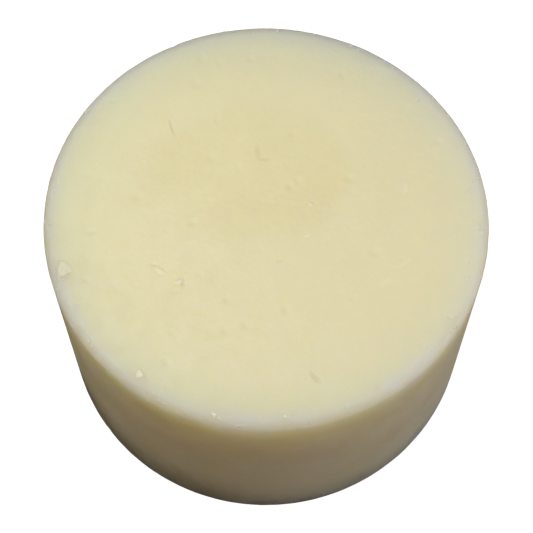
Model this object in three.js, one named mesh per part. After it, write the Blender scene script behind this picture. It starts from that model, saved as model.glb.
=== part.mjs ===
// Shaving soap puck: one solid round of poured soap, in millimetres, +Z up.
// The origin is the centre of the base, and +Z runs up the axis to the face that a wet brush works on.
import * as THREE from 'three';

// Driving dimensions
const FACE_DIAMETER = 60; // the widest width, just under the rim
const BASE_DIAMETER = 58.6; // the side draws in a little towards the base
const HEIGHT = 40;
const RIM_ROUNDING = 1.2; // radius of the rounded edge around the upper face
const BASE_ROUNDING = 3; // radius of the rounded edge around the base

// Fineness of the faceted solid
const SIDES = 96; // facets around the axis, a multiple of 4 so that the widest width lies on X and on Y
const ROUNDING_STEPS = 8; // facets across each rounded edge

// Looks
const SOAP_COLOUR = '#e0d7ae';
const SOAP_ROUGHNESS = 0.55;

// Half of the puck's upright section, from the middle of the base out, up the side and in to the middle of
// the face. It is drawn as radius and height.
function halfSection() {
  const quarterTurn = Math.PI / 2;
  const baseCentre = BASE_DIAMETER / 2 - BASE_ROUNDING;
  const rimCentre = FACE_DIAMETER / 2 - RIM_ROUNDING;
  const section = new THREE.Path();
  section.moveTo(0, 0);
  section.lineTo(baseCentre, 0);
  section.absarc(baseCentre, BASE_ROUNDING, BASE_ROUNDING, -quarterTurn, 0);
  section.lineTo(FACE_DIAMETER / 2, HEIGHT - RIM_ROUNDING);
  section.absarc(rimCentre, HEIGHT - RIM_ROUNDING, RIM_ROUNDING, 0, quarterTurn);
  section.lineTo(0, HEIGHT);
  return section.getPoints(ROUNDING_STEPS / 2); // a path gives an arc twice this many steps
}

function makeSoapPuck() {
  const geometry = new THREE.LatheGeometry(halfSection(), SIDES);
  geometry.rotateX(Math.PI / 2); // a lathe turns about +Y, and the puck stands on +Z
  const soap = new THREE.MeshStandardMaterial({
    color: SOAP_COLOUR,
    roughness: SOAP_ROUGHNESS,
    metalness: 0,
  });
  const puck = new THREE.Mesh(geometry, soap);
  puck.name = 'soap_puck';
  return puck;
}

const shavingSoap = new THREE.Group();
shavingSoap.add(makeSoapPuck());

export default shavingSoap;
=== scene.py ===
import math

import bmesh
import bpy
import numpy as np
from mathutils import Matrix, Vector, noise


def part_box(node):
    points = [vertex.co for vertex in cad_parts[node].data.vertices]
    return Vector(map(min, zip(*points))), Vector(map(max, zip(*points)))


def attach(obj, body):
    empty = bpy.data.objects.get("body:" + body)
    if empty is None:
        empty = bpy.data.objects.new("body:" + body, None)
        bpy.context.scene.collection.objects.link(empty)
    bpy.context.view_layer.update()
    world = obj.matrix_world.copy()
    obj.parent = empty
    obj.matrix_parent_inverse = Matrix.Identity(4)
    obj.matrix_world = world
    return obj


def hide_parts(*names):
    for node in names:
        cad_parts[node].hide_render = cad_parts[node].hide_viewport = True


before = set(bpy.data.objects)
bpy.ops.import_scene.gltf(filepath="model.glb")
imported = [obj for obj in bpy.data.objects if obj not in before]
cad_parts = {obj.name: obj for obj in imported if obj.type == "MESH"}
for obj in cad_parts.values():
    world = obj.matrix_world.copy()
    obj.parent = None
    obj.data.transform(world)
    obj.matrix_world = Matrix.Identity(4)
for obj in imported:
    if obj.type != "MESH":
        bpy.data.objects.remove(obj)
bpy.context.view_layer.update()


# ---------------------------------------------------------------------------------------------
# The view: a long lens looks down on the puck from in front.
# ---------------------------------------------------------------------------------------------

MM = 0.001
low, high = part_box("soap_puck")
height = high.z - low.z
face_radius = (high.x - low.x) / 2
face_mm, height_mm = face_radius / MM, height / MM

view_elevation = math.radians(66.7)
view_distance = 8.95 * face_radius
view_target = Vector((0.003 * face_radius, 0.046 * face_radius, height / 2))
focal_length = 125.2  # millimetres, on a 36 mm sensor
nearest_seen = 10 * MM

lens = bpy.data.cameras.new("view")
lens.lens = focal_length
lens.clip_start = nearest_seen
camera = bpy.data.objects.new("view", lens)
towards_camera = Vector((0, -math.cos(view_elevation), math.sin(view_elevation)))
camera.location = view_target + view_distance * towards_camera
camera.rotation_euler = (math.pi / 2 - view_elevation, 0, 0)
bpy.context.scene.collection.objects.link(camera)
bpy.context.scene.camera = camera


# ---------------------------------------------------------------------------------------------
# The table and the light: a sheet of white opal acrylic lit from below, as product tables are,
# and three soft lamps, one high and a little behind, one low on the right and one on the left.
# The sheet throws no light up at the puck, so its side stays in the shade.
# ---------------------------------------------------------------------------------------------


def linear(colour):
    """A hex colour such as "e0d7ae", turned from sRGB to linear light."""
    parts = [int(colour[i : i + 2], 16) / 255 for i in (0, 2, 4)]
    return [c / 12.92 if c <= 0.04045 else ((c + 0.055) / 1.055) ** 2.4 for c in parts] + [1]


def add_node(tree, kind, inputs=None, **settings):
    """Adds a node. inputs gives each socket, by name or number, its value, a node or a node's output."""
    node = tree.nodes.new(kind)
    for name, value in settings.items():
        setattr(node, name, value)
    for socket, value in (inputs or {}).items():
        if isinstance(value, bpy.types.Node):
            value = value.outputs[0]
        if isinstance(value, bpy.types.NodeSocket):
            tree.links.new(value, node.inputs[socket])
        else:
            node.inputs[socket].default_value = value
    return node


def new_material(name):
    """A material of this name with an empty node tree, and the tree."""
    material = bpy.data.materials.new(name)
    material.use_nodes = True
    material.node_tree.nodes.clear()
    return material, material.node_tree


def soft_lamp(name, place, size, power, colour):
    """A round lamp facing the middle of the puck: its size in metres and its power in watts."""
    lamp = bpy.data.lights.new(name, "AREA")
    lamp.shape = "DISK"
    lamp.size = size
    lamp.energy = power
    lamp.color = linear(colour)[:3]
    holder = bpy.data.objects.new(name, lamp)
    holder.location = place
    away = Vector(place) - Vector((0, 0, height / 2))
    holder.rotation_euler = away.to_track_quat("Z", "Y").to_euler()
    bpy.context.scene.collection.objects.link(holder)


opal_acrylic, tree = new_material("white opal acrylic, lit from below")
sheet = add_node(tree, "ShaderNodeBsdfPrincipled", {
    "Base Color": linear("a0a0a0"),
    "Roughness": 0.9,
    "Specular IOR Level": 0.1,
    "Emission Color": linear("ffffff"),
    "Emission Strength": 0.95,
})
add_node(tree, "ShaderNodeOutputMaterial", {"Surface": sheet})

table_size = 6  # metres
bpy.ops.mesh.primitive_plane_add(size=table_size)
table = bpy.context.object
table.name = "table_top"
table.data.materials.append(opal_acrylic)
table.visible_diffuse = False
table.visible_glossy = False

soft_lamp("overhead_lamp", (-0.095, 0.11, 0.49), 0.3, 1.41, "ebfaf6")
soft_lamp("right_lamp", (0.53, -0.14, 0.27), 0.4, 1.41, "f1f4f9")
soft_lamp("left_lamp", (-0.44, -0.22, 0.35), 0.4, 0.66, "f9f9ee")

# A dim, warm room, with no light from below the table's level.
room_strength = 0.31
horizon_blur = 0.05
studio = bpy.data.worlds.new("dim warm studio")
studio.use_nodes = True
tree = studio.node_tree
direction = add_node(tree, "ShaderNodeTexCoord").outputs["Generated"]
upward = add_node(tree, "ShaderNodeSeparateXYZ", {0: direction}).outputs["Z"]
glow = add_node(tree, "ShaderNodeMapRange", {
    "Value": upward, "From Min": -horizon_blur, "From Max": horizon_blur, "To Max": room_strength,
})
room = tree.nodes["Background"]
room.inputs["Color"].default_value = linear("ffdacd")
tree.links.new(glow.outputs[0], room.inputs["Strength"])
bpy.context.scene.world = studio
bpy.context.scene.view_settings.view_transform = "Standard"


# ---------------------------------------------------------------------------------------------
# The puck: one block of hard soap, poured hot into a round mould and knocked out once it set.
# It is cream to pale yellow and lets light some way in. Its face is scuffed by handling, its
# side is drawn with fine upright marks by the mould, and its rim and base edge are rounded.
# ---------------------------------------------------------------------------------------------

base_radius = 0.977 * face_radius
rim_rounding = 0.04 * face_radius
base_rounding = 0.1 * face_radius


# Hard soap is a pale wax-like solid: light spreads far inside it, red furthest, so the body
# glows warm under the rim and the thin rim looks cooler; the cooler ring is also partly painted
# shade. The skin is semi-matt, drier and whiter where it was rubbed, with a painted highlight along
# the front rim, and clouded on a scale of centimetres where it set more slowly.
poured_soap, tree = new_material("hard poured soap, cream, semi-matt")
object_place = add_node(tree, "ShaderNodeTexCoord").outputs["Object"]
spot = add_node(tree, "ShaderNodeVectorMath", {0: object_place, "Scale": 1 / MM}, operation="SCALE")
spot_at = add_node(tree, "ShaderNodeSeparateXYZ", {0: spot}).outputs
level = add_node(tree, "ShaderNodeVectorMath", {0: spot, 1: (1, 1, 0)}, operation="MULTIPLY")
radius = add_node(tree, "ShaderNodeVectorMath", {0: level}, operation="LENGTH").outputs["Value"]

# Real soap grain is finer than a tenth of a millimetre; it is drawn as coarse as it needs to show.
cloud_size, curd_size, grain_size, drag_size = 9, 1.5, 0.3, 0.6  # millimetres
clouds = add_node(tree, "ShaderNodeTexNoise", {"Vector": spot, "Scale": 1 / cloud_size, "Detail": 3})
curds = add_node(tree, "ShaderNodeTexNoise", {"Vector": spot, "Scale": 1 / curd_size, "Detail": 4})
grain = add_node(tree, "ShaderNodeTexNoise", {"Vector": spot, "Scale": 1 / grain_size, "Detail": 2})

# The cream deepens a little towards the left. A warmer, slightly darker patch behind the middle of the
# face, with a ragged edge, is painted warm light.
warm_light_centre = (-2.2, 6.9, height_mm)
warm_light_half = (14.5, 10.5, 9)  # millimetres across, along and down
from_warm_light = add_node(tree, "ShaderNodeVectorMath", {
    0: spot, 1: warm_light_centre,
}, operation="SUBTRACT")
in_halves = add_node(tree, "ShaderNodeVectorMath", {
    0: from_warm_light, 1: warm_light_half,
}, operation="DIVIDE")
warm_light_reach = add_node(tree, "ShaderNodeVectorMath", {
    0: in_halves,
}, operation="LENGTH").outputs["Value"]
ragged = add_node(tree, "ShaderNodeMath", {0: clouds, 1: 0.25, 2: warm_light_reach}, operation="MULTIPLY_ADD")
# Painted warm light: a pool of warmer tint on the middle of the face.
painted_warm_light = add_node(tree, "ShaderNodeMapRange", {
    "Value": ragged, "From Min": 1.22, "From Max": 0.9,
}, interpolation_type="SMOOTHSTEP")
from_left = add_node(tree, "ShaderNodeMapRange", {
    "Value": spot_at["X"], "From Min": 2 - face_mm, "From Max": face_mm - 2,
})
even_cream = add_node(tree, "ShaderNodeMix", {
    "Factor": from_left, 6: linear("dfd7ae"), 7: linear("dfd8b7"),
}, data_type="RGBA")
cream = add_node(tree, "ShaderNodeMix", {
    "Factor": painted_warm_light, 6: even_cream.outputs[2], 7: linear("ddd4a9"),
}, data_type="RGBA")

# Clouds and curds shift the cream a little paler or deeper.
mottle = add_node(tree, "ShaderNodeMath", {0: curds, 1: 0.6, 2: clouds}, operation="MULTIPLY_ADD")
mottled = add_node(tree, "ShaderNodeMapRange", {
    "Value": mottle, "From Min": 0.55, "From Max": 1.05, "To Max": 0.5,
}, interpolation_type="SMOOTHSTEP")
body = add_node(tree, "ShaderNodeMix", {
    "Factor": mottled, 6: cream.outputs[2], 7: linear("e2dab4"),
}, data_type="RGBA")

# Towards the rim there is a broad cooler ring: partly a pale bloom on the soap, partly painted shade
# where light leaks out through the side. It is palest behind on the right, which is painted light.
ring_edge = add_node(tree, "ShaderNodeMath", {0: clouds, 1: 3, 2: radius}, operation="MULTIPLY_ADD")
rim_bloom_and_edge_shade = add_node(tree, "ShaderNodeMapRange", {
    "Value": ring_edge, "From Min": face_mm - 5, "From Max": face_mm + 1, "To Max": 0.6,
}, interpolation_type="SMOOTHSTEP")
# Painted light: the ring is paler behind on the right than in front on the left.
across_face = add_node(tree, "ShaderNodeMath", {0: spot_at["X"], 1: spot_at["Y"]}, operation="ADD")
painted_light_to_back_right = add_node(tree, "ShaderNodeMapRange", {
    "Value": across_face, "From Min": -25, "From Max": 25,
})
ring_cream_and_painted_light = add_node(tree, "ShaderNodeMix", {
    "Factor": painted_light_to_back_right, 6: linear("d9d7ae"), 7: linear("e3e2be"),
}, data_type="RGBA")
cooler = add_node(tree, "ShaderNodeMix", {
    "Factor": rim_bloom_and_edge_shade, 6: body.outputs[2], 7: ring_cream_and_painted_light.outputs[2],
}, data_type="RGBA")

# The very edge has a drier, whiter skin, thinner down the side. It is broadest at the front, where
# the extra width is a painted highlight along the front rim.
# Painted highlight: the whiter edge reaches further in at the front.
painted_front_highlight = add_node(tree, "ShaderNodeMath", {
    0: spot_at["Y"], 1: -0.02, 2: radius,
}, operation="MULTIPLY_ADD")
wavering = add_node(tree, "ShaderNodeMath", {0: curds, 1: 1.6, 2: painted_front_highlight}, operation="MULTIPLY_ADD")
dry = add_node(tree, "ShaderNodeMapRange", {
    "Value": wavering, "From Min": face_mm - 1.9, "From Max": face_mm + 0.7,
}, interpolation_type="SMOOTHSTEP")
patchy = add_node(tree, "ShaderNodeMapRange", {
    "Value": clouds, "From Min": 0.35, "From Max": 0.6, "To Min": 0.35,
}, interpolation_type="SMOOTHSTEP")
at_rim = add_node(tree, "ShaderNodeMapRange", {
    "Value": spot_at["Z"], "From Min": height_mm - 4, "From Max": height_mm - 1.5, "To Min": 0.5,
}, interpolation_type="SMOOTHSTEP")
dry_patches = add_node(tree, "ShaderNodeMath", {0: dry, 1: patchy}, operation="MULTIPLY")
dry_skin_and_highlight = add_node(tree, "ShaderNodeMath", {0: dry_patches, 1: at_rim}, operation="MULTIPLY")
skin = add_node(tree, "ShaderNodeMix", {
    "Factor": dry_skin_and_highlight, 6: cooler.outputs[2], 7: linear("dedcc7"),
}, data_type="RGBA")

# The side set against the mould in faint warm blotches. Towards the base, most on the left, it darkens
# in specks: the specks are marks on the soap, and the darkening towards the base and the left is
# painted shade.
side_cloud_size = 8  # millimetres
side_clouds = add_node(tree, "ShaderNodeTexNoise", {
    "Vector": spot, "Scale": 1 / side_cloud_size, "Detail": 4, "Roughness": 0.6,
})
below_rim = add_node(tree, "ShaderNodeMapRange", {
    "Value": spot_at["Z"], "From Min": height_mm - 2, "From Max": height_mm - 6,
}, interpolation_type="SMOOTHSTEP")
blotched = add_node(tree, "ShaderNodeMapRange", {
    "Value": side_clouds, "From Min": 0.35, "From Max": 0.7, "To Max": 0.4,
}, interpolation_type="SMOOTHSTEP")
blotches = add_node(tree, "ShaderNodeMath", {0: blotched, 1: below_rim}, operation="MULTIPLY")
warmed = add_node(tree, "ShaderNodeMix", {
    "Factor": blotches, 6: skin.outputs[2], 7: linear("d0c6a0"),
}, data_type="RGBA")
painted_shade_lean = add_node(tree, "ShaderNodeMath", {
    0: spot_at["X"], 1: 0.22, 2: spot_at["Z"],
}, operation="MULTIPLY_ADD")
speckled = add_node(tree, "ShaderNodeMath", {0: curds, 1: 5, 2: painted_shade_lean}, operation="MULTIPLY_ADD")
low_left_shade_and_specks = add_node(tree, "ShaderNodeMath", {
    0: side_clouds, 1: 9, 2: speckled,
}, operation="MULTIPLY_ADD")
# Painted shade, with specks: darker towards the base and on the left.
painted_shade_and_specks = add_node(tree, "ShaderNodeMapRange", {
    "Value": low_left_shade_and_specks, "From Min": 21, "From Max": 5, "To Max": 0.72,
}, interpolation_type="SMOOTHSTEP")
dull = add_node(tree, "ShaderNodeMix", {
    "Factor": painted_shade_and_specks, 6: warmed.outputs[2], 7: linear("7f785f"),
}, data_type="RGBA")

# Rubbed spots are whiter and dents are darker in colour, as the mesh's own attributes say.
rubbed = add_node(tree, "ShaderNodeAttribute", attribute_name="rubbed").outputs["Fac"]
darker_in_dent = add_node(tree, "ShaderNodeAttribute", attribute_name="darker_in_dent").outputs["Fac"]
whitened = add_node(tree, "ShaderNodeMix", {
    "Factor": rubbed, 6: dull.outputs[2], 7: linear("f0eee0"),
}, data_type="RGBA")
marked = add_node(tree, "ShaderNodeMix", {
    "Factor": darker_in_dent, 6: whitened.outputs[2], 7: linear("a8a078"),
}, data_type="RGBA")

# Skin relief: fine grain, soft curds, and the mould's upright drag marks, each 20 times as long
# as it is wide.
grain_depth, curd_depth, drag_depth = 0.012, 0.05, 0.02  # millimetres
drawn = add_node(tree, "ShaderNodeVectorMath", {0: spot, 1: (1, 1, 1 / 20)}, operation="MULTIPLY")
drag = add_node(tree, "ShaderNodeTexNoise", {"Vector": drawn, "Scale": 1 / drag_size, "Detail": 3})
fine = add_node(tree, "ShaderNodeMath", {0: grain, 1: grain_depth}, operation="MULTIPLY")
soft = add_node(tree, "ShaderNodeMath", {0: curds, 1: curd_depth, 2: fine}, operation="MULTIPLY_ADD")
relief = add_node(tree, "ShaderNodeMath", {0: drag, 1: drag_depth, 2: soft}, operation="MULTIPLY_ADD")
bump = add_node(tree, "ShaderNodeBump", {"Height": relief, "Distance": MM, "Strength": 0.5})

# How far red light spreads inside the soap, matched to the warm band under the rim. Green
# and blue spread less far.
soap_ior = 1.46
light_depth = 29 * MM
red_green_blue_reach = (1.0, 0.8, 0.5)

gloss = add_node(tree, "ShaderNodeMapRange", {
    "Value": curds, "From Min": 0.3, "From Max": 0.7, "To Min": 0.34, "To Max": 0.46,
})
dull_skin = add_node(tree, "ShaderNodeMath", {0: dry_skin_and_highlight, 1: 0.2, 2: gloss}, operation="MULTIPLY_ADD")
soap = add_node(tree, "ShaderNodeBsdfPrincipled", {
    "Base Color": marked.outputs[2],
    "Roughness": dull_skin,
    "IOR": soap_ior,
    "Subsurface Weight": 1.0,
    "Subsurface Radius": red_green_blue_reach,
    "Subsurface Scale": light_depth,
    "Normal": bump,
})
add_node(tree, "ShaderNodeOutputMaterial", {"Surface": soap})


# The block's shape: a cube of square rows, bent round into rings, then given its edges and flaws.
shape = bpy.data.node_groups.new("poured puck", "GeometryNodeTree")
for name, kind in (
    ("Face radius", "Float"),
    ("Base radius", "Float"),
    ("Height", "Float"),
    ("Rim rounding", "Float"),
    ("Base rounding", "Float"),
    ("Face rows", "Int"),
    ("Side rows", "Int"),
    ("Oval by", "Float"),
    ("Three-lobed by", "Float"),
    ("Oval bearing", "Float"),
    ("Lobe bearing", "Float"),
    ("Face waves", "Float"),
    ("Drag marks", "Float"),
    ("Rim nibbles", "Float"),
    ("Pits per square metre", "Float"),
    ("Seed", "Int"),
    ("Soap", "Material"),
):
    shape.interface.new_socket(name, in_out="INPUT", socket_type="NodeSocket" + kind)
shape.interface.new_socket("Puck", in_out="OUTPUT", socket_type="NodeSocketGeometry")
sizes = add_node(shape, "NodeGroupInput").outputs

face_columns = add_node(shape, "ShaderNodeMath", {0: sizes["Face rows"], 1: 1}, operation="ADD")
side_columns = add_node(shape, "ShaderNodeMath", {0: sizes["Side rows"], 1: 1}, operation="ADD")
block = add_node(shape, "GeometryNodeMeshCube", {
    "Size": (2, 2, 2),
    "Vertices X": face_columns,
    "Vertices Y": face_columns,
    "Vertices Z": side_columns,
})
position = add_node(shape, "GeometryNodeInputPosition")
at = add_node(shape, "ShaderNodeSeparateXYZ", {0: position}).outputs

# Square rows turn to rings: the ring is the larger of x and y, and a corner goes to 45 degrees.
across = add_node(shape, "ShaderNodeMath", {0: at["X"]}, operation="ABSOLUTE")
along = add_node(shape, "ShaderNodeMath", {0: at["Y"]}, operation="ABSOLUTE")
ring = add_node(shape, "ShaderNodeMath", {0: across, 1: along}, operation="MAXIMUM")
above_nought = 1e-6  # keeps the division sound at the axis
some_ring = add_node(shape, "ShaderNodeMath", {0: ring, 1: above_nought}, operation="MAXIMUM")
leaning = []
for way in ("X", "Y"):
    share = add_node(shape, "ShaderNodeMath", {0: at[way], 1: some_ring}, operation="DIVIDE")
    angle = add_node(shape, "ShaderNodeMath", {0: share, 1: math.pi / 4}, operation="MULTIPLY")
    leaning.append(add_node(shape, "ShaderNodeMath", {0: angle}, operation="TANGENT"))
square_way = add_node(shape, "ShaderNodeCombineXYZ", {"X": leaning[0], "Y": leaning[1]})
outward = add_node(shape, "ShaderNodeVectorMath", {0: square_way}, operation="NORMALIZE")

# Rows crowd towards the rim and the base edge, where the surface turns.
half_turns = add_node(shape, "ShaderNodeMath", {0: at["Z"], 1: math.pi}, operation="MULTIPLY")
wave = add_node(shape, "ShaderNodeMath", {0: half_turns}, operation="SINE")
row_crowding = 0.17
crowded = add_node(shape, "ShaderNodeMath", {
    0: wave, 1: row_crowding, 2: at["Z"],
}, operation="MULTIPLY_ADD")
share_up = add_node(shape, "ShaderNodeMath", {0: crowded, 1: 0.5, 2: 0.5}, operation="MULTIPLY_ADD")
up = add_node(shape, "ShaderNodeMath", {0: share_up, 1: sizes["Height"]}, operation="MULTIPLY")

# The mould's taper, and the two edges rounded around a smaller sharp-cornered core.
side_radius = add_node(shape, "ShaderNodeMapRange", {
    "Value": up,
    "From Max": sizes["Height"],
    "To Min": sizes["Base radius"],
    "To Max": sizes["Face radius"],
})
out = add_node(shape, "ShaderNodeMath", {0: ring, 1: side_radius}, operation="MULTIPLY")
half_height = add_node(shape, "ShaderNodeMath", {0: sizes["Height"], 1: 0.5}, operation="MULTIPLY")
upper_half = add_node(shape, "FunctionNodeCompare", {0: up, 1: half_height}, operation="GREATER_THAN")
rounding = add_node(shape, "GeometryNodeSwitch", {
    0: upper_half, 1: sizes["Base rounding"], 2: sizes["Rim rounding"],
}, input_type="FLOAT")
core_radius = add_node(shape, "ShaderNodeMath", {0: side_radius, 1: rounding}, operation="SUBTRACT")
core_top = add_node(shape, "ShaderNodeMath", {
    0: sizes["Height"], 1: sizes["Rim rounding"],
}, operation="SUBTRACT")
core_out = add_node(shape, "ShaderNodeMath", {0: out, 1: core_radius}, operation="MINIMUM")
core_up = add_node(shape, "ShaderNodeClamp", {
    "Value": up, "Min": sizes["Base rounding"], "Max": core_top,
})
over_out = add_node(shape, "ShaderNodeMath", {0: out, 1: core_out}, operation="SUBTRACT")
over_up = add_node(shape, "ShaderNodeMath", {0: up, 1: core_up}, operation="SUBTRACT")
corner = add_node(shape, "ShaderNodeCombineXYZ", {"X": over_out, "Z": over_up})
corner_way = add_node(shape, "ShaderNodeVectorMath", {0: corner}, operation="NORMALIZE")
core = add_node(shape, "ShaderNodeCombineXYZ", {"X": core_out, "Z": core_up})
section = add_node(shape, "ShaderNodeVectorMath", {
    0: corner_way, 1: rounding, 2: core,
}, operation="MULTIPLY_ADD")
section_at = add_node(shape, "ShaderNodeSeparateXYZ", {0: section}).outputs

# The mould is a little oval and three-lobed, as a thin one gets when it is squeezed.
way_at = add_node(shape, "ShaderNodeSeparateXYZ", {0: outward}).outputs
bearing = add_node(shape, "ShaderNodeMath", {0: way_at["Y"], 1: way_at["X"]}, operation="ARCTAN2")
lobes = section_at["X"]
for count, amount, first in ((2, "Oval by", "Oval bearing"), (3, "Three-lobed by", "Lobe bearing")):
    from_first = add_node(shape, "ShaderNodeMath", {0: bearing, 1: sizes[first]}, operation="SUBTRACT")
    turns = add_node(shape, "ShaderNodeMath", {0: from_first, 1: count}, operation="MULTIPLY")
    swing = add_node(shape, "ShaderNodeMath", {0: turns}, operation="COSINE")
    bulge = add_node(shape, "ShaderNodeMath", {0: swing, 1: sizes[amount]}, operation="MULTIPLY")
    here = add_node(shape, "ShaderNodeMath", {0: bulge, 1: ring}, operation="MULTIPLY")
    lobes = add_node(shape, "ShaderNodeMath", {0: lobes, 1: here}, operation="ADD")
flat = add_node(shape, "ShaderNodeVectorMath", {
    0: outward, "Scale": lobes.outputs[0],
}, operation="SCALE")
lift = add_node(shape, "ShaderNodeCombineXYZ", {"Z": section_at["Z"]})
place = add_node(shape, "ShaderNodeVectorMath", {0: flat, 1: lift}, operation="ADD")
rounded = add_node(shape, "GeometryNodeSetPosition", {"Geometry": block, "Position": place})

# Which way each point faces: up on the face, sideways on the side, and half-way on the rim.
normal = add_node(shape, "GeometryNodeInputNormal")
facing = add_node(shape, "ShaderNodeSeparateXYZ", {0: normal}).outputs["Z"]
face_share = add_node(shape, "ShaderNodeClamp", {"Value": facing})
tilt = add_node(shape, "ShaderNodeMath", {0: facing}, operation="ABSOLUTE")
side_share = add_node(shape, "ShaderNodeMath", {0: 1, 1: tilt}, operation="SUBTRACT")
rim_share = add_node(shape, "ShaderNodeMath", {0: face_share, 1: side_share}, operation="MULTIPLY")
seeded = add_node(shape, "ShaderNodeMath", {0: sizes["Seed"], 1: 7.3}, operation="MULTIPLY")

# Three kinds of unevenness: each is a noise of its own grain, taken as a height along the normal.
heights = []
for size_mm, squash, amount, share in (
    (11, 1, "Face waves", face_share),
    (1.6, 0.04, "Drag marks", side_share),
    (1.3, 1, "Rim nibbles", rim_share),
):
    squashed = add_node(shape, "ShaderNodeVectorMath", {
        0: position, 1: (1, 1, squash),
    }, operation="MULTIPLY")
    rough = add_node(shape, "ShaderNodeTexNoise", {
        "Vector": squashed, "W": seeded, "Scale": 1 / (size_mm * MM), "Detail": 2,
    }, noise_dimensions="4D")
    centred = add_node(shape, "ShaderNodeMath", {0: rough, 1: 0.5}, operation="SUBTRACT")
    scaled = add_node(shape, "ShaderNodeMath", {0: centred, 1: sizes[amount]}, operation="MULTIPLY")
    heights.append(add_node(shape, "ShaderNodeMath", {0: scaled, 1: share}, operation="MULTIPLY"))
total = heights[0]
for more in heights[1:]:
    total = add_node(shape, "ShaderNodeMath", {0: total, 1: more}, operation="ADD")

# Shallow pits where air bubbles met the mould or the face.
least_pit, widest_pit, pit_deep = 0.45 * MM, 0.95 * MM, 0.09 * MM
bubbles = add_node(shape, "GeometryNodeDistributePointsOnFaces", {
    "Mesh": rounded, "Density": sizes["Pits per square metre"], "Seed": sizes["Seed"],
})
bubble_size = add_node(shape, "FunctionNodeRandomValue", {
    2: least_pit, 3: widest_pit, "Seed": sizes["Seed"],
}, data_type="FLOAT")
nearest = add_node(shape, "GeometryNodeSampleNearest", {
    "Geometry": bubbles, "Sample Position": position,
})
bubble_place = add_node(shape, "GeometryNodeSampleIndex", {
    "Geometry": bubbles, "Value": position, "Index": nearest,
}, data_type="FLOAT_VECTOR")
pit_radius = add_node(shape, "GeometryNodeSampleIndex", {
    "Geometry": bubbles, "Value": bubble_size.outputs[1], "Index": nearest,
}, data_type="FLOAT")
distance = add_node(shape, "ShaderNodeVectorMath", {
    0: position, 1: bubble_place,
}, operation="DISTANCE").outputs["Value"]
pit = add_node(shape, "ShaderNodeMapRange", {
    "Value": distance, "From Max": pit_radius, "To Min": 1, "To Max": 0,
}, interpolation_type="SMOOTHSTEP")
pit_depth = add_node(shape, "ShaderNodeMath", {0: pit, 1: -pit_deep}, operation="MULTIPLY")
relief = add_node(shape, "ShaderNodeMath", {0: total, 1: pit_depth}, operation="ADD")
push = add_node(shape, "ShaderNodeVectorMath", {0: normal, "Scale": relief}, operation="SCALE")
uneven = add_node(shape, "GeometryNodeSetPosition", {"Geometry": rounded, "Offset": push})

smooth = add_node(shape, "GeometryNodeSetShadeSmooth", {"Geometry": uneven})
real = add_node(shape, "GeometryNodeRealizeInstances", {"Geometry": smooth})
finished = add_node(shape, "GeometryNodeSetMaterial", {"Geometry": real, "Material": sizes["Soap"]})
add_node(shape, "NodeGroupOutput", {"Puck": finished})


def grown(name, tree, values, start=None):
    """A plain mesh object made by a Geometry Nodes tree, whose named inputs get these values."""
    seedling = bpy.data.objects.new(name, start or bpy.data.meshes.new(name))
    bpy.context.scene.collection.objects.link(seedling)
    modifier = seedling.modifiers.new("nodes", "NODES")
    modifier.node_group = tree
    for socket in tree.interface.items_tree:
        if socket.in_out == "INPUT" and socket.name in values:
            modifier[socket.identifier] = values[socket.name]
    bpy.context.view_layer.update()
    settled = seedling.evaluated_get(bpy.context.evaluated_depsgraph_get())
    mesh = bpy.data.meshes.new_from_object(settled)
    seedling.modifiers.clear()
    seedling.data = mesh
    mesh.name = name
    return seedling


puck = grown("soap_body", shape, {
    "Face radius": face_radius,
    "Base radius": base_radius,
    "Height": height,
    "Rim rounding": rim_rounding,
    "Base rounding": base_rounding,
    "Face rows": 150,
    "Side rows": 48,
    "Oval by": 0.13 * MM,
    "Oval bearing": math.radians(171),
    "Three-lobed by": 0.08 * MM,
    "Lobe bearing": math.radians(139),
    "Face waves": 0.25 * MM,
    "Drag marks": 0.10 * MM,
    "Rim nibbles": 0.5 * MM,
    "Pits per square metre": 14000,
    "Seed": 4,
    "Soap": poured_soap,
})

# Marks of handling: where on the face, which way each runs, how long, wide and deep it is, how far
# it bends, how much darker in colour a dent is, and how much whiter a rubbed spot is. Millimetres,
# degrees.
MARKS = (
    # x, y, bearing, half length, half width, depth, bend, darker in dent, rubbed
    (-13.0, 13.6, -72, 1.8, 0.15, 0.045, 0.25, 0.3, 0.0),
    (-12.5, 14.1, -72, 1.1, 0.2, -0.015, 0.15, 0.0, 0.1),
    (-1.0, 9.9, -85, 1.4, 0.45, 0.03, 0.1, 0.14, 0.0),
    (-0.2, 8.8, 0, 1.1, 0.40, 0.03, 0.0, 0.12, 0.0),
    (6.5, -22.9, -50, 1.2, 0.55, 0.05, 0.1, 0.2, 0.0),
    (1.9, -6.4, 20, 0.7, 0.35, 0.02, 0.0, 0.08, 0.0),
    (6.1, 2.0, 10, 0.4, 0.35, -0.05, 0.0, 0.0, 0.4),
    (5.7, -2.6, 40, 0.7, 0.2, -0.03, 0.2, 0.0, 0.25),
    (-11.5, -9.4, 15, 0.7, 0.45, -0.06, 0.0, 0.0, 0.3),
    (-10.9, -9.8, 60, 0.5, 0.3, 0.04, 0.0, 0.12, 0.0),
    (-14.0, -7.9, -30, 0.9, 0.4, -0.04, 0.2, 0.0, 0.2),
    (15.9, -9.4, 25, 1.3, 0.6, -0.03, 0.1, 0.0, 0.16),
    (18.4, -6.8, 30, 1.6, 0.4, -0.02, 0.2, 0.0, 0.14),
    (19.1, 4.5, 80, 1.1, 0.45, -0.03, 0.2, 0.0, 0.16),
    (28.8, -1.5, 4, 1.3, 0.18, -0.04, 0.0, 0.0, 0.5),
    (28.7, -2.2, -3, 1.1, 0.16, -0.03, 0.0, 0.0, 0.4),
    (-28.3, 5.6, -60, 0.7, 0.16, -0.04, 0.0, 0.0, 0.5),
    (-28.7, 4.8, -40, 0.5, 0.15, -0.04, 0.0, 0.0, 0.4),
)
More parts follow.
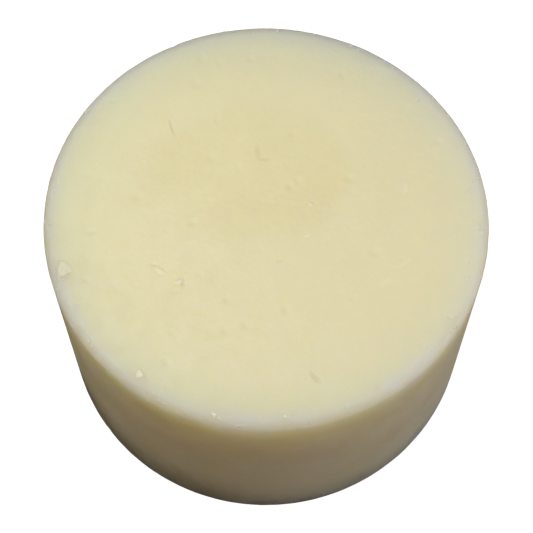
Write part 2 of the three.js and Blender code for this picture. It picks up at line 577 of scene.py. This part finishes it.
mark_reach = 1.6  # a mark's neighbourhood that gets a finer mesh, in half lengths
finer_cuts = 3  # cuts across each face there

centres = np.array([mark[:2] for mark in MARKS]) * MM
reaches = np.array([max(mark[3] * mark_reach, 1) for mark in MARKS]) * MM
cast = bmesh.new()
cast.from_mesh(puck.data)
near = set()
for face in cast.faces:
    middle = face.calc_center_median()
    if middle.z > height - rim_rounding:
        if (np.hypot(centres[:, 0] - middle.x, centres[:, 1] - middle.y) < reaches).any():
            near.update(face.edges)
bmesh.ops.subdivide_edges(cast, edges=list(near), cuts=finer_cuts, use_grid_fill=True)
bmesh.ops.triangulate(cast, faces=[face for face in cast.faces if len(face.verts) > 4])
cast.to_mesh(puck.data)
cast.free()

count = len(puck.data.vertices)
places = np.empty(3 * count, np.float32)
puck.data.vertices.foreach_get("co", places)
places = places.reshape(-1, 3)
normals = np.empty(3 * count, np.float32)
puck.data.vertices.foreach_get("normal", normals)
normals = normals.reshape(-1, 3)
on_face = places[:, 2] > height - rim_rounding
tints = {"darker_in_dent": np.zeros(count), "rubbed": np.zeros(count)}
pushes = np.zeros(count)
for x, y, bearing, length, width, depth, bend, dent_darkening, rub in MARKS:
    turn = math.radians(bearing)
    from_mark = places[:, :2] / MM - (x, y)
    run = from_mark @ (math.cos(turn), math.sin(turn)) / length
    aside = (from_mark @ (-math.sin(turn), math.cos(turn)) - bend * run**2) / width
    # Waves a little over half a millimetre long keep a mark's edge from running smoothly.
    ragged = 1 + 0.35 * np.sin(9 * from_mark[:, 0] + x) * np.sin(11 * from_mark[:, 1] + y)
    strength = np.clip(1 - run**2 - (aside * ragged) ** 2, 0, 1) * on_face
    pushes -= depth * MM * strength
    tints["darker_in_dent"] = np.maximum(tints["darker_in_dent"], dent_darkening * strength)
    tints["rubbed"] = np.maximum(tints["rubbed"], rub * strength)
places += normals * pushes[:, None]
puck.data.vertices.foreach_set("co", places.ravel())
for name, tint in tints.items():
    attribute = puck.data.attributes.new(name, "FLOAT", "POINT")
    attribute.data.foreach_set("value", tint.astype(np.float32))
puck.data.update()
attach(puck, "root")
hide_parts("soap_puck")


# ---------------------------------------------------------------------------------------------
# Crumbs and shavings: the puck's own soap, scraped off its rim when it was knocked out of the
# mould and cut level. They have dried whiter than the block, and cling to the rim and the face.
# ---------------------------------------------------------------------------------------------

# Dry soap scrapings are full of air, so light hardly goes into them, and they have no gloss. The
# fresher ones still have the block's cream colour.
dry_scrapings, tree = new_material("dry soap scrapings, matt")
object_place = add_node(tree, "ShaderNodeTexCoord").outputs["Object"]
grit_size = 0.25  # millimetres, as coarse as it needs to show on a crumb
grit = add_node(tree, "ShaderNodeTexNoise", {
    "Vector": object_place, "Scale": 1 / (grit_size * MM), "Detail": 3,
})
paleness = add_node(tree, "ShaderNodeMapRange", {"Value": grit, "From Min": 0.3, "From Max": 0.7})
scraped = add_node(tree, "ShaderNodeMix", {
    "Factor": paleness, 6: linear("dfdcc3"), 7: linear("ebe9d8"),
}, data_type="RGBA")
fresh = add_node(tree, "ShaderNodeAttribute", attribute_name="fresh").outputs["Fac"]
shade = add_node(tree, "ShaderNodeMix", {
    "Factor": fresh, 6: scraped.outputs[2], 7: linear("cbc7ab"),
}, data_type="RGBA")
grit_bump = add_node(tree, "ShaderNodeBump", {"Height": grit, "Distance": 0.05 * MM, "Strength": 0.6})
scrapings = add_node(tree, "ShaderNodeBsdfPrincipled", {
    "Base Color": shade.outputs[2],
    "Roughness": 0.65,
    "IOR": soap_ior,
    "Normal": grit_bump,
})
add_node(tree, "ShaderNodeOutputMaterial", {"Surface": scrapings})

scatter = bpy.data.node_groups.new("scattered scrapings", "GeometryNodeTree")
scatter.interface.new_socket("Puck", in_out="INPUT", socket_type="NodeSocketGeometry")
for name, kind in (
    ("Face radius", "Float"),
    ("Rim band", "Float"),
    ("Crumbs per square metre", "Float"),
    ("Smallest crumb", "Float"),
    ("Largest crumb", "Float"),
    ("Shavings per square metre", "Float"),
    ("Shaving length", "Float"),
    ("Seed", "Int"),
    ("Soap", "Material"),
):
    scatter.interface.new_socket(name, in_out="INPUT", socket_type="NodeSocket" + kind)
scatter.interface.new_socket("Scrapings", in_out="OUTPUT", socket_type="NodeSocketGeometry")
sizes = add_node(scatter, "NodeGroupInput").outputs

# They lie where the puck faces up, and crowd in a band along the rim.
position = add_node(scatter, "GeometryNodeInputPosition")
in_plan = add_node(scatter, "ShaderNodeVectorMath", {0: position, 1: (1, 1, 0)}, operation="MULTIPLY")
from_axis = add_node(scatter, "ShaderNodeVectorMath", {0: in_plan}, operation="LENGTH").outputs["Value"]
band_start = add_node(scatter, "ShaderNodeMath", {
    0: sizes["Face radius"], 1: sizes["Rim band"],
}, operation="SUBTRACT")
crowding = add_node(scatter, "ShaderNodeMapRange", {
    "Value": from_axis, "From Min": band_start, "From Max": sizes["Face radius"],
})
normal = add_node(scatter, "GeometryNodeInputNormal")
facing = add_node(scatter, "ShaderNodeSeparateXYZ", {0: normal}).outputs["Z"]
least_upright = 0.45  # the upward part of the surface's normal, at about 63 degrees of slope
faces_up = add_node(scatter, "FunctionNodeCompare", {
    0: facing, 1: least_upright,
}, operation="GREATER_THAN")

# A crumb is a rough little ball, half sunk in the face, and a shaving is a thin curled strip.
ball = add_node(scatter, "GeometryNodeMeshIcoSphere", {"Radius": 1, "Subdivisions": 2})
lumps = add_node(scatter, "ShaderNodeTexNoise", {"Vector": position, "Scale": 1.3, "Detail": 1})
lump_way = add_node(scatter, "ShaderNodeVectorMath", {
    0: lumps.outputs["Color"], 1: (0.5, 0.5, 0.5),
}, operation="SUBTRACT")
lumpiness, crumb_sunk = 1.6, 0.45  # in radii of the crumb
lump_push = add_node(scatter, "ShaderNodeVectorMath", {
    0: lump_way, "Scale": lumpiness,
}, operation="SCALE")
sunk = add_node(scatter, "ShaderNodeVectorMath", {
    0: lump_push, 1: (0, 0, -crumb_sunk),
}, operation="ADD")
crumb_shape = add_node(scatter, "GeometryNodeSetPosition", {"Geometry": ball, "Offset": sunk})

# The strip is one unit long, curls up at its ends, twists, and narrows to points.
strip = add_node(scatter, "GeometryNodeMeshCube", {
    "Size": (1, 0.28, 0.07), "Vertices X": 8, "Vertices Y": 3, "Vertices Z": 2,
})
strip_at = add_node(scatter, "ShaderNodeSeparateXYZ", {0: position}).outputs
end_share = add_node(scatter, "ShaderNodeMath", {
    0: strip_at["X"], 1: strip_at["X"],
}, operation="MULTIPLY")
curl = add_node(scatter, "ShaderNodeMath", {0: end_share, 1: 0.9}, operation="MULTIPLY")
twist = add_node(scatter, "ShaderNodeMath", {0: strip_at["X"], 1: strip_at["Y"]}, operation="MULTIPLY")
sway = add_node(scatter, "ShaderNodeMath", {0: twist, 1: 0.8, 2: curl}, operation="MULTIPLY_ADD")
taper = add_node(scatter, "ShaderNodeMath", {0: end_share, 1: strip_at["Y"]}, operation="MULTIPLY")
narrowing = add_node(scatter, "ShaderNodeMath", {0: taper, 1: -3}, operation="MULTIPLY")
strip_push = add_node(scatter, "ShaderNodeCombineXYZ", {"Y": narrowing, "Z": sway})
shaving_shape = add_node(scatter, "GeometryNodeSetPosition", {"Geometry": strip, "Offset": strip_push})

smallest, largest = sizes["Smallest crumb"], sizes["Largest crumb"]
longest = sizes["Shaving length"]
shortest = add_node(scatter, "ShaderNodeMath", {0: longest, 1: 0.5}, operation="MULTIPLY")
rock = 0.3  # how far a scraping tips either way, in radians
scattered = []
for scraping, density, least, most, offset in (
    (crumb_shape, "Crumbs per square metre", smallest, largest, 0),
    (shaving_shape, "Shavings per square metre", shortest, longest, 1),
):
    seed = add_node(scatter, "ShaderNodeMath", {0: sizes["Seed"], 1: offset}, operation="ADD")
    crowd = add_node(scatter, "ShaderNodeMath", {0: crowding, 1: sizes[density]}, operation="MULTIPLY")
    spots = add_node(scatter, "GeometryNodeDistributePointsOnFaces", {
        "Mesh": sizes["Puck"], "Selection": faces_up, "Density": crowd, "Seed": seed,
    })
    turn = add_node(scatter, "FunctionNodeRandomValue", {
        0: (-rock, -rock, 0), 1: (rock, rock, 2 * math.pi), "Seed": seed,
    }, data_type="FLOAT_VECTOR")
    size = add_node(scatter, "FunctionNodeRandomValue", {
        2: least, 3: most, "Seed": seed,
    }, data_type="FLOAT")
    placed = add_node(scatter, "GeometryNodeInstanceOnPoints", {
        "Points": spots,
        "Instance": scraping,
        "Rotation": spots.outputs["Rotation"],
        "Scale": size.outputs[1],
    })
    turned = add_node(scatter, "GeometryNodeRotateInstances", {
        "Instances": placed, "Rotation": turn, "Local Space": True,
    })
    scattered.append(turned)
together = add_node(scatter, "GeometryNodeJoinGeometry", {0: scattered[0]})
scatter.links.new(scattered[1].outputs[0], together.inputs[0])
real = add_node(scatter, "GeometryNodeRealizeInstances", {"Geometry": together})
smooth = add_node(scatter, "GeometryNodeSetShadeSmooth", {"Geometry": real})
finished = add_node(scatter, "GeometryNodeSetMaterial", {"Geometry": smooth, "Material": sizes["Soap"]})
add_node(scatter, "NodeGroupOutput", {"Scrapings": finished})

crumbs = grown("soap_crumbs", scatter, {
    "Face radius": face_radius,
    "Rim band": 3 * MM,
    "Crumbs per square metre": 340000,
    "Smallest crumb": 0.05 * MM,
    "Largest crumb": 0.19 * MM,
    "Shavings per square metre": 90000,
    "Shaving length": 0.9 * MM,
    "Seed": 11,
    "Soap": dry_scrapings,
}, start=puck.data.copy())
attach(crumbs, "root")

# The few larger scraps: where each lies, its bearing, how long, wide and thick it is, and how
# fresh its soap still looks, from 0, quite dry, to 1.
SCRAPS = (
    # x, y, bearing, length, width, thickness, fresh
    (-16.5, -22.5, 35, 1.1, 0.95, 0.45, 0),
    (-6.7, -28.0, 70, 0.8, 0.6, 0.4, 0),
    (-6.0, -28.5, 10, 0.4, 0.35, 0.25, 0),
    (2.5, -28.2, 20, 0.6, 0.5, 0.3, 0),
    (3.1, -28.3, 80, 0.4, 0.3, 0.25, 0),
    (-26.8, -7.6, 180, 2.2, 1.8, 0.1, 0.5),
    (25.0, -15.8, 60, 1.0, 0.5, 0.35, 0.4),
    (24.3, -16.6, 20, 0.4, 0.4, 0.3, 0.4),
    (-11.4, -9.5, 15, 0.7, 0.4, 0.15, 0),
    (6.1, 2.0, 10, 0.4, 0.35, 0.2, 0),
    (-28.3, 5.7, -60, 0.9, 0.25, 0.15, 0.4),
    (28.7, -1.6, 5, 1.1, 0.25, 0.15, 0.4),
)
sunk_share = 0.15  # how far a scrap has pressed in, as a share of its thickness
corner_share = 0.22  # how far its three corners stand out, as a share of its half length
chip_share, chip_count = 0.25, 1.7  # how deep its chips are, and how close together
own_seed_step = 3.1  # sets each scrap's noise apart from the next one's
scraps = bmesh.new()
freshness = scraps.verts.layers.float.new("fresh")
for number, (x, y, bearing, length, width, thickness, fresh) in enumerate(SCRAPS):
    found, foot, tilt_way, _ = puck.closest_point_on_mesh(Vector((x, y, height / MM)) * MM)
    flake = bmesh.ops.create_icosphere(scraps, subdivisions=3, radius=1)["verts"]
    for point in flake:
        way = point.co.normalized()
        corners = math.cos(3 * math.atan2(way.y, way.x)) * (1 - abs(way.z))
        three_cornered = 1 + corner_share * corners
        own_noise = way * chip_count + Vector((number * own_seed_step, 0, 0))
        chipped = three_cornered + chip_share * noise.noise(own_noise)
        point.co = Vector((way.x * length, way.y * width, way.z * thickness)) * chipped * MM / 2
    lie = tilt_way.to_track_quat("Z", "X").to_matrix() @ Matrix.Rotation(math.radians(bearing), 3, "Z")
    for point in flake:
        point.co = foot + lie @ point.co - tilt_way * sunk_share * thickness * MM
        point[freshness] = fresh
scrap_mesh = bpy.data.meshes.new("soap_scraps")
scraps.to_mesh(scrap_mesh)
scraps.free()
scrap_mesh.polygons.foreach_set("use_smooth", [True] * len(scrap_mesh.polygons))
scrap_mesh.materials.append(dry_scrapings)
scrap_pieces = bpy.data.objects.new("soap_scraps", scrap_mesh)
bpy.context.scene.collection.objects.link(scrap_pieces)
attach(scrap_pieces, "root")
